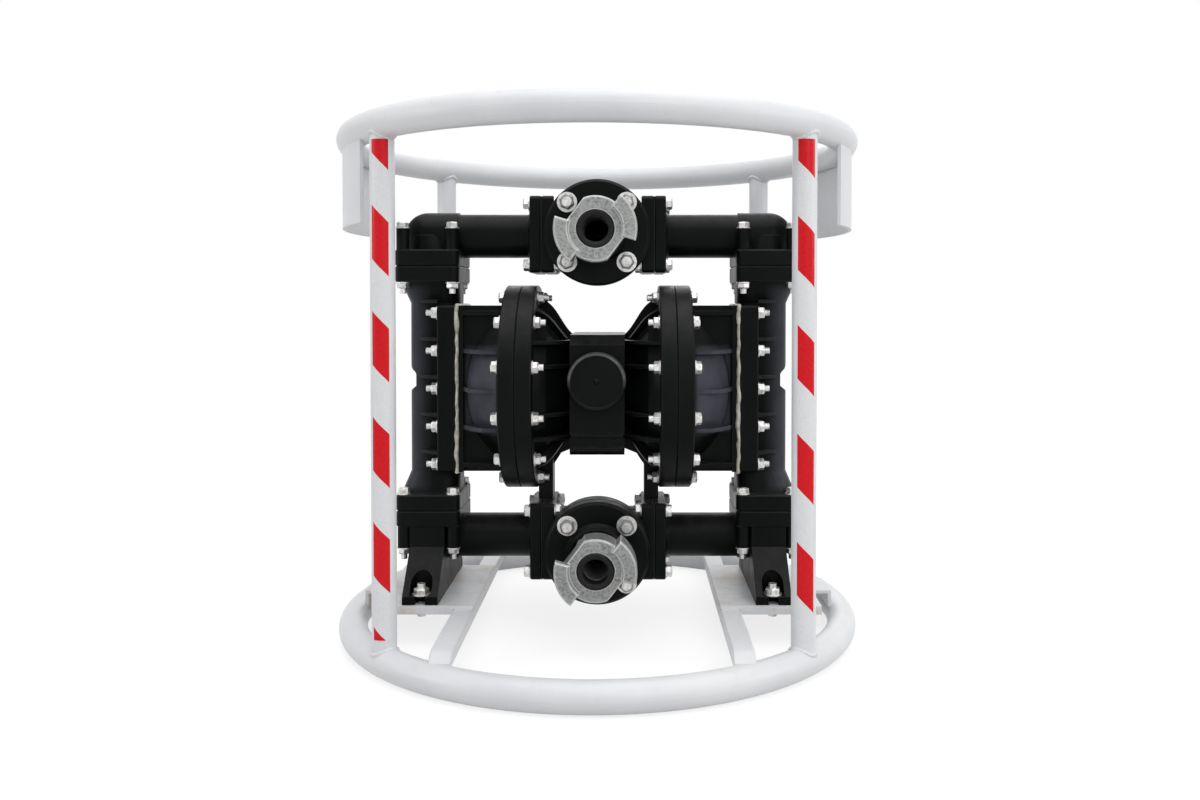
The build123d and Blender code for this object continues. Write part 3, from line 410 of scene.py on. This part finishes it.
def boltTree(material):
    # a hexagon with a chamfered crown on a round washer, with a thread end above it
    sizes = {"Hex radius": 0.0075, "Hex height": 0.006, "Washer radius": 0.009, "Washer height": 0.0014,
             "Thread radius": 0.004, "Thread length": 0.0, "Weathered": 0.0, "Seed": 7}
    tree, last = newTree("hexFastener", sizes, material)
    given = tree.nodes["in"].outputs

    def lifted(mesh, offset):
        combine = addNode(tree, "ShaderNodeCombineXYZ", {"Z": offset})
        inputs = {"Geometry": mesh, "Translation": combine.outputs[0]}
        return addNode(tree, "GeometryNodeTransform", inputs).outputs[0]

    def product(first, second, operation="MULTIPLY"):
        return addNode(tree, "ShaderNodeMath", {0: first, 1: second}, operation=operation).outputs[0]

    def cylinder(vertices, radius, depth):
        inputs = {"Vertices": vertices, "Radius": radius, "Depth": depth}
        return addNode(tree, "GeometryNodeMeshCylinder", inputs)

    hexHeight = product(given["Hex height"], bolt["prismShare"])
    crownHeight = product(given["Hex height"], 1 - bolt["prismShare"])
    crownRadius = product(given["Hex radius"], bolt["crownTaper"])
    washer = cylinder(bolt["washerSides"], given["Washer radius"], given["Washer height"])
    prism = cylinder(6, given["Hex radius"], hexHeight)
    crown = addNode(tree, "GeometryNodeMeshCone", {"Vertices": 6, "Radius Bottom": given["Hex radius"],
                                                   "Radius Top": crownRadius, "Depth": crownHeight})
    thread = cylinder(bolt["threadSides"], given["Thread radius"], given["Thread length"])
    prismMiddle = product(given["Washer height"], product(hexHeight, 0.5), "ADD")
    prismTop = product(given["Washer height"], hexHeight, "ADD")
    threadStart = product(prismTop, crownHeight, "ADD")
    threadMiddle = product(threadStart, product(given["Thread length"], 0.5), "ADD")
    join = addNode(tree, "GeometryNodeJoinGeometry")
    for part, share in ((lifted(washer.outputs[0], product(given["Washer height"], 0.5)), 0.0),
                        (lifted(prism.outputs[0], prismMiddle), 1.0),
                        (lifted(crown.outputs[0], prismTop), 1.0),
                        (lifted(thread.outputs[0], threadMiddle), 0.0)):
        mark = {"Geometry": part, "Name": "weathered", "Value": product(given["Weathered"], share)}
        stored = addNode(tree, "GeometryNodeStoreNamedAttribute", mark, data_type="FLOAT", domain="POINT")
        plug(join.inputs[0], stored.outputs[0])
    direction = addNode(tree, "GeometryNodeInputNamedAttribute", {"Name": "direction"},
                        data_type="FLOAT_VECTOR")
    align = addNode(tree, "FunctionNodeAlignRotationToVector", {"Vector": direction.outputs[0]}, axis="Z")
    spin = addNode(tree, "FunctionNodeRandomValue", {2: 0.0, 3: math.tau, "Seed": given["Seed"]},
                   data_type="FLOAT")
    turn = addNode(tree, "FunctionNodeAxisAngleToRotation", {"Axis": (0, 0, 1), "Angle": spin.outputs[1]})
    both = addNode(tree, "FunctionNodeRotateRotation",
                   {"Rotation": align.outputs[0], "Rotate By": turn.outputs[0]}, rotation_space="LOCAL")
    points = addNode(tree, "GeometryNodeMeshToPoints", {"Mesh": given["Geometry"], "Radius": 0.001})
    placed = addNode(tree, "GeometryNodeInstanceOnPoints", {
        "Points": points.outputs[0], "Instance": join.outputs[0], "Rotation": both.outputs[0]})
    tree.links.new(placed.outputs[0], last)
    return tree


def pointMesh(name, seats):
    # one loose vertex for each seat, with the way that the fastener points
    mesh = bpy.data.meshes.new(name)
    mesh.from_pydata([seat for seat, way in seats], [], [])
    attribute = mesh.attributes.new("direction", "FLOAT_VECTOR", "POINT")
    for i, (seat, way) in enumerate(seats):
        attribute.data[i].vector = way
    return mesh


def seatsOf(solids, way, planes):
    # heads stand on the far side of their joint plane, nuts on its near side
    heads, nuts = [], []
    for group in solids:
        along = [corner.dot(way) for corner in group]
        low, high = min(along), max(along)
        middle = sum(group, Vector()) / len(group)
        centre = middle.dot(way)
        plane = min(planes, key=lambda p: abs(p - centre))
        outward = centre > plane
        base = low if outward else high
        seat = middle + way * (base - centre)
        far = outward if plane >= 0 or len(planes) == 1 else not outward
        (heads if far else nuts).append((seat, way if outward else -way))
    return heads, nuts


m8 = {"Hex radius": 0.0075, "Hex height": 0.0064, "Washer radius": 0.0087, "Washer height": 0.0016,
      "Thread radius": 0.004, "Seed": 3}
m10 = {"Hex radius": 0.0095, "Hex height": 0.0065, "Washer radius": 0.0112, "Washer height": 0.0018,
       "Thread radius": 0.005, "Seed": 5}
m12 = {"Hex radius": 0.0092, "Hex height": 0.008, "Washer radius": 0.0122, "Washer height": 0.0025,
       "Thread radius": 0.006, "Weathered": 0.85, "Seed": 11}
mounts = {mount["name"]: mount for mount in frame["record"]["mounts"]}
teeLow, teeHigh = lowHigh("discharge_tee")
padLow, padHigh = lowHigh("mounting_pad_right")
valveLow, valveHigh = lowHigh("air_valve_body")
across, deep, upright = Vector((1, 0, 0)), Vector((0, 1, 0)), Vector((0, 0, 1))
# stub is the thread that stands out of the heads and of the nuts
fasteners = {
    "column_bolts": {"way": across, "planes": (-columnLow.x, columnLow.x), "size": m8, "stub": (0.006, 0)},
    "clamp_bolts": {"way": across, "planes": (-chamberLow.x, chamberLow.x), "size": m8, "stub": (0, 0.0055)},
    "elbow_bolts": {"way": upright, "planes": (columnLow.z, columnHigh.z), "size": m8, "stub": (0, 0.006)},
    "tee_bolts": {"way": across, "planes": (-teeHigh.x, teeHigh.x), "size": m8, "stub": (0, 0)},
    "port_bolts": {"way": None, "planes": (0.06,), "size": m12, "stub": (0, 0)},
    "foot_bolts": {"way": upright, "planes": (padHigh.z,), "size": m10, "stub": (0.005, 0.003)},
    "air_valve_bolts": {"way": deep, "planes": (valveLow.y,), "size": m8, "stub": (0, 0)},
}
hexTree = boltTree(materials["zinc_steel"])
for name, spec in fasteners.items():
    solids = islands(name)
    if spec["way"]:
        sets = [(solids, spec["way"])]
    else:
        # the lower branch droops, so each half of the port bolts points along its own bore
        sets = []
        for upper, bore in ((True, "discharge_bore"), (False, "suction_bore")):
            half = [group for group in solids if (group[0].z > middleHeight) == upper]
            sets.append((half, Vector(mounts[bore]["axis"])))
    joined = bmesh.new()
    for group, way in sets:
        for seats, stub in zip(seatsOf(group, way, spec["planes"]), spec["stub"]):
            if not seats:
                continue
            points = pointMesh(name + "Seats", seats)
            size = dict(spec["size"], **{"Thread length": stub + bolt["sunk"]})
            result = runTree(name + "Nodes", points, hexTree, size)
            joined.from_mesh(result)
            bpy.data.meshes.remove(result)
    mesh = bpy.data.meshes.new(name + "Detailed")
    joined.to_mesh(mesh)
    joined.free()
    piece = finishMesh(name + "_detailed", mesh, materials["zinc_steel"], "frame")
    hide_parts(name)
print("fasteners placed")


# reflective tape on the two front posts

tape = {"width": 0.0195, "proud": 0.0003, "red": 0.058, "top": 0.584, "bottom": 0.0445, "around": 20,
        "rows": 40, "cells": 900.0, "sharp": 60, "period": {"left": 0.1138, "right": 0.117},
        "redCentre": {"left": 0.4755, "right": 0.4635}}


def tapeMaterial():
    # prismatic tape: diagonal red and white bars with a fine cell pattern under a clear face
    s = Shader("reflectiveTape")
    split = s.add("ShaderNodeSeparateXYZ", {"Vector": s.coordinates.outputs["UV"]})
    along = s.math("FRACT", split.outputs["Y"])
    bar = s.math("LESS_THAN", along, split.outputs["X"])
    cells = s.add("ShaderNodeTexVoronoi", {"Vector": s.coordinates.outputs["Object"], "Scale": tape["cells"]})
    glint = s.grey(cells.outputs["Distance"], 0.0, 1.0, 0.1, 0.6)
    red = s.mix(glint, (0.56, 0.004, 0.009), (0.66, 0.01, 0.016))
    white = s.mix(glint, (0.64, 0.655, 0.68), (0.74, 0.75, 0.765))
    plug(s.bsdf.inputs["Base Color"], s.mix(bar, white, red))
    plug(s.bsdf.inputs["Roughness"], s.grey(s.noise(0.01, 3), 0.22, 0.36))
    s.bsdf.inputs["Specular IOR Level"].default_value = 0.15
    plug(s.bsdf.inputs["Normal"], s.bump(cells.outputs["Distance"], 0.08, 0.0002))
    return s.material


tapeSkin = tapeMaterial()
for side in ("left", "right"):
    low, high = lowHigh("post_front_" + side)
    centre = (low + high) / 2
    radius = (high.x - low.x) / 2 + tape["proud"]
    half = tape["width"] / 2 / radius
    steps = tape["around"]
    corners, faces, spots = [], [], []
    rows = tape["rows"]
    for row in range(rows + 1):
        z = tape["bottom"] + (tape["top"] - tape["bottom"]) * row / rows
        for step in range(steps + 1):
            angle = -half + 2 * half * step / steps
            corners.append((centre.x + radius * math.sin(angle), centre.y - radius * math.cos(angle), z))
            # the bars fall at 45 degrees from left to right
            fall = z + angle * radius - tape["redCentre"][side] + tape["red"] / 2
            spots.append((tape["red"] / tape["period"][side], fall / tape["period"][side]))
    for row in range(rows):
        for step in range(steps):
            a = row * (steps + 1) + step
            faces.append((a, a + 1, a + steps + 2, a + steps + 1))
    mesh = bpy.data.meshes.new("tape_" + side)
    mesh.from_pydata(corners, [], faces)
    layer = mesh.uv_layers.new(name="UVMap")
    for loop in mesh.loops:
        layer.data[loop.index].uv = spots[loop.vertex_index]
    finishMesh("reflective_tape_" + side, mesh, tapeSkin, "frame", tape["sharp"])
print("tape laid")


# silicone beads squeezed out round the column flanges

bead = {"radius": 0.0024, "wander": 0.0007, "wanderRate": 70, "swell": 0.28, "swellRate": 90,
        "step": 0.004, "sides": 8, "sharp": 70, "seed": 4}


def beadTree(name, material):
    # a round bead along the edges of a mesh, as thick as its "width" attribute says
    tree, last = newTree(name, {"Sides": 8}, material)
    given = tree.nodes["in"].outputs
    line = addNode(tree, "GeometryNodeMeshToCurve", {"Mesh": given["Geometry"]})
    width = addNode(tree, "GeometryNodeInputNamedAttribute", {"Name": "width"}, data_type="FLOAT")
    ring = addNode(tree, "GeometryNodeCurvePrimitiveCircle", {"Resolution": given["Sides"], "Radius": 1.0})
    skin = addNode(tree, "GeometryNodeCurveToMesh", {
        "Curve": line.outputs[0], "Profile Curve": ring.outputs[0], "Scale": width.outputs[0]})
    tree.links.new(skin.outputs[0], last)
    return tree


def beadMesh(name, loops, tree, sides):
    # runs the tree on closed loops of (point, width) and turns the skin outwards
    corners, edges, widths = [], [], []
    for loop in loops:
        first = len(corners)
        corners += [point for point, width in loop]
        widths += [width for point, width in loop]
        edges += [(first + i, first + (i + 1) % len(loop)) for i in range(len(loop))]
    lines = bpy.data.meshes.new(name + "Lines")
    lines.from_pydata(corners, edges, [])
    attribute = lines.attributes.new("width", "FLOAT", "POINT")
    attribute.data.foreach_set("value", widths)
    result = runTree(name, lines, tree, {"Sides": sides})
    mesh = bmesh.new()
    mesh.from_mesh(result)
    bmesh.ops.remove_doubles(mesh, verts=mesh.verts, dist=1e-6)
    bmesh.ops.recalc_face_normals(mesh, faces=mesh.faces)
    mesh.to_mesh(result)
    mesh.free()
    return result


random.seed(bead["seed"])
sealantTree = beadTree("sealantBead", materials["cream_sealant"])
for side in ("left", "right"):
    low, high = lowHigh("column_gasket_" + side)
    middle = (low.x + high.x) / 2
    outline = ((low.y, low.z), (low.y, high.z), (high.y, high.z), (high.y, low.z))
    corners = [Vector((middle, y, z)) for y, z in outline]
    path = []
    for i, start in enumerate(corners):
        end = corners[(i + 1) % 4]
        count = int((end - start).length / bead["step"])
        path += [start.lerp(end, k / count) for k in range(count)]
    offset = random.uniform(0, 50)
    loop = []
    for point in path:
        ripple = noise.noise(point * bead["swellRate"] + Vector((offset, 0, 0)))
        wander = 2 * bead["wander"] * noise.noise(point * bead["wanderRate"] + Vector((0, offset, 0)))
        loop.append((point + Vector((wander, 0, 0)), bead["radius"] * (1 + bead["swell"] * 2 * ripple)))
    mesh = beadMesh("bead_" + side, [loop], sealantTree, bead["sides"])
    finishMesh("sealant_bead_" + side, mesh, materials["cream_sealant"], "frame",
               bead["sharp"])
print("sealant beads run")


# side plates under the top hoop, and base rails with coped ends

sidePlate = {"frontAngle": {"left": 35.0, "right": 28.0}, "rearAngle": -23.0, "sheet": 0.004,
             "steps": 48, "sharp": 40}


def profileMesh(name, rows):
    # joins rows of points that have the same count into a closed skin
    mesh = bmesh.new()
    rings = [[mesh.verts.new(point) for point in row] for row in rows]
    for first, second in zip(rings, rings[1:]):
        for k in range(len(first)):
            after = (k + 1) % len(first)
            mesh.faces.new((first[k], first[after], second[after], second[k]))
    mesh.faces.new(rings[0])
    mesh.faces.new(rings[-1])
    bmesh.ops.recalc_face_normals(mesh, faces=mesh.faces)
    result = bpy.data.meshes.new(name)
    mesh.to_mesh(result)
    mesh.free()
    return result


for side, way in (("left", -1), ("right", 1)):
    low, high = lowHigh("side_plate_" + side)
    outer = max(abs(low.x), abs(high.x))
    inner = outer - sidePlate["sheet"]
    rows = []
    sweep = sidePlate["frontAngle"][side] - sidePlate["rearAngle"]
    for i in range(sidePlate["steps"] + 1):
        angle = math.radians(sidePlate["rearAngle"] + sweep * i / sidePlate["steps"])
        x, y = way * math.cos(angle), -math.sin(angle)
        section = ((inner, low.z), (outer, low.z), (outer, high.z), (inner, high.z))
        rows.append([(x * r, y * r, z) for r, z in section])
    mesh = profileMesh("side_plate_sheet_" + side, rows)
    piece = finishMesh("side_plate_sheet_" + side, mesh, materials["white_paint"], "frame",
                       sidePlate["sharp"])
    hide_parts("side_plate_" + side)

rail = {"slope": 0.02, "kneeShare": 0.6, "kneeDrop": 0.003, "tip": 0.004, "corner": 0.0015, "sharp": 30}
for side in ("left", "right"):
    low, high = lowHigh("base_rail_" + side)
    slope, tip, knee = rail["slope"], low.z + rail["tip"], high.z - rail["kneeDrop"]
    kneeAt = slope * rail["kneeShare"]
    stations = [(low.y, tip), (low.y + kneeAt, knee), (low.y + slope, high.z),
                (high.y - slope, high.z), (high.y - kneeAt, knee), (high.y, tip)]
    rows = []
    for y, top in stations:
        c = rail["corner"]
        rows.append([(low.x, y, low.z), (high.x, y, low.z), (high.x, y, top - c), (high.x - c, y, top),
                     (low.x + c, y, top), (low.x, y, top - c)])
    mesh = profileMesh("coped_rail_" + side, rows)
    piece = finishMesh("coped_rail_" + side, mesh, materials["white_paint"], "frame",
                       rail["sharp"])
    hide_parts("base_rail_" + side)
print("side plates and rails made")


# weld beads where the posts meet the hoops

weld = {"radius": 0.0024, "points": 96, "ripple": 0.35, "scallops": 26, "sides": 8, "sharp": 60}
hoops = {}
for name, way in (("top_ring", -1), ("bottom_ring", 1)):
    low, high = lowHigh(name)
    tube = (high.z - low.z) / 2
    hoops[name] = {"z": (low.z + high.z) / 2, "tube": tube, "radius": (high.x - low.x) / 2 - tube, "way": way}
seams = []
for end in ("front", "rear"):
    for side in ("left", "right"):
        low, high = lowHigh("post_" + end + "_" + side)
        centre = (low + high) / 2
        radius = (high.x - low.x) / 2
        for hoop in hoops.values():
            loop = []
            for i in range(weld["points"]):
                angle = math.tau * i / weld["points"]
                x = centre.x + radius * math.cos(angle)
                y = centre.y + radius * math.sin(angle)
                off = math.hypot(x, y) - hoop["radius"]
                z = hoop["z"] + hoop["way"] * math.sqrt(max(hoop["tube"] ** 2 - off ** 2, 1e-8))
                pulse = abs(math.sin(angle * weld["scallops"] / 2))
                loop.append((Vector((x, y, z)), weld["radius"] * (1 + weld["ripple"] * (pulse - 0.5))))
            seams.append(loop)
mesh = beadMesh("post_welds", seams, beadTree("postWeld", materials["white_paint"]), weld["sides"])
finishMesh("post_welds", mesh, materials["white_paint"], "frame", weld["sharp"])
print("welds laid")


# camera, floor and lights

view = {"place": (0.0372, -1.3395, 0.408), "pitch": 1.2, "lens": 31.48, "sensor": 36,
        "shift": (-0.0233, -0.0621)}
cameraData = bpy.data.cameras.new("camera")
camera = bpy.data.objects.new("camera", cameraData)
scene.collection.objects.link(camera)
cameraData.sensor_width = view["sensor"]
cameraData.lens = view["lens"]
cameraData.shift_x, cameraData.shift_y = view["shift"]
camera.location = view["place"]
camera.rotation_euler = (math.radians(90 - view["pitch"]), 0, 0)
scene.camera = camera
scene.view_settings.view_transform = "Standard"


def seenRay(tree):
    # 1 for a ray from the camera, a reflection or a clear material, 0 for light that falls on the object
    path = addNode(tree, "ShaderNodeLightPath")
    seen = path.outputs["Is Camera Ray"]
    for label in ("Is Glossy Ray", "Is Transmission Ray"):
        either = addNode(tree, "ShaderNodeMath", {0: seen, 1: path.outputs[label]}, operation="MAXIMUM")
        seen = either.outputs[0]
    return seen


stage = {"half": 6.0, "below": 0.0002, "tone": 0.62, "shadeTone": 0.3, "glow": 0.76, "fadeFrom": 0.75,
         "fadeTo": 2.2, "skyLight": 0.55, "skySeen": 1.0, "aim": (0, 0, 0.3)}


def floorMaterial():
    # plain pale floor: it keeps the object's shadow near by and runs out to white
    s = Shader("paleFloor")
    tree = s.tree
    s.bsdf.inputs["Base Color"].default_value = (stage["tone"],) * 3 + (1,)
    s.bsdf.inputs["Roughness"].default_value = 0.9
    shade = s.add("ShaderNodeBsdfDiffuse", {"Color": (stage["shadeTone"],) * 3 + (1,)})
    glow = s.add("ShaderNodeEmission", {"Color": (1, 1, 1, 1), "Strength": stage["glow"]})
    white = s.add("ShaderNodeEmission", {"Color": (1, 1, 1, 1), "Strength": 1.0})
    near = s.add("ShaderNodeAddShader", {0: shade.outputs[0], 1: glow.outputs[0]})
    distance = s.add("ShaderNodeVectorMath", {0: s.coordinates.outputs["Object"]}, operation="LENGTH")
    fade = s.grey(distance.outputs["Value"], 0.0, 1.0, stage["fadeFrom"], stage["fadeTo"])
    shown = s.add("ShaderNodeMixShader", {0: fade, 1: near.outputs[0], 2: white.outputs[0]})
    both = s.add("ShaderNodeMixShader", {0: seenRay(tree), 1: s.bsdf.outputs[0], 2: shown.outputs[0]})
    plug(tree.nodes["Material Output"].inputs["Surface"], both.outputs[0])
    return s.material


floorMesh = bpy.data.meshes.new("floor")
edge = stage["half"]
corners = [(-edge, -edge, 0), (edge, -edge, 0), (edge, edge, 0), (-edge, edge, 0)]
floorMesh.from_pydata(corners, [], [(0, 1, 2, 3)])
floor = bpy.data.objects.new("floor", floorMesh)
scene.collection.objects.link(floor)
floor.location.z = cadBox[0][2] - stage["below"]
floorMesh.materials.append(floorMaterial())

world = bpy.data.worlds.new("studio")
scene.world = world
world.use_nodes = True
tree = world.node_tree
strength = addNode(tree, "ShaderNodeMapRange", {
    "Value": seenRay(tree), "To Min": stage["skyLight"], "To Max": stage["skySeen"]})
plug(tree.nodes["Background"].inputs["Strength"], strength.outputs[0])
tree.nodes["Background"].inputs["Color"].default_value = (1, 1, 1, 1)

lamps = {
    "overhead": {"place": (0.2, -0.5, 2.5), "size": 2.6, "power": 36},
    "sideLeft": {"place": (-2.4, -0.9, 0.9), "size": 0.8, "power": 9},
    "sideRight": {"place": (2.4, -0.8, 0.9), "size": 0.8, "power": 9},
    "front": {"place": (1.3, -2.9, 1.6), "size": 1.4, "power": 17},
    "rear": {"place": (0.3, 2.4, 1.6), "size": 1.6, "power": 12},
}
for name, lamp in lamps.items():
    data = bpy.data.lights.new(name, "AREA")
    data.size = lamp["size"]
    data.energy = lamp["power"]
    item = bpy.data.objects.new(name, data)
    scene.collection.objects.link(item)
    item.location = lamp["place"]
    aim = Vector(stage["aim"]) - Vector(lamp["place"])
    item.rotation_euler = aim.to_track_quat("-Z", "Y").to_euler()
print("camera and lights set")
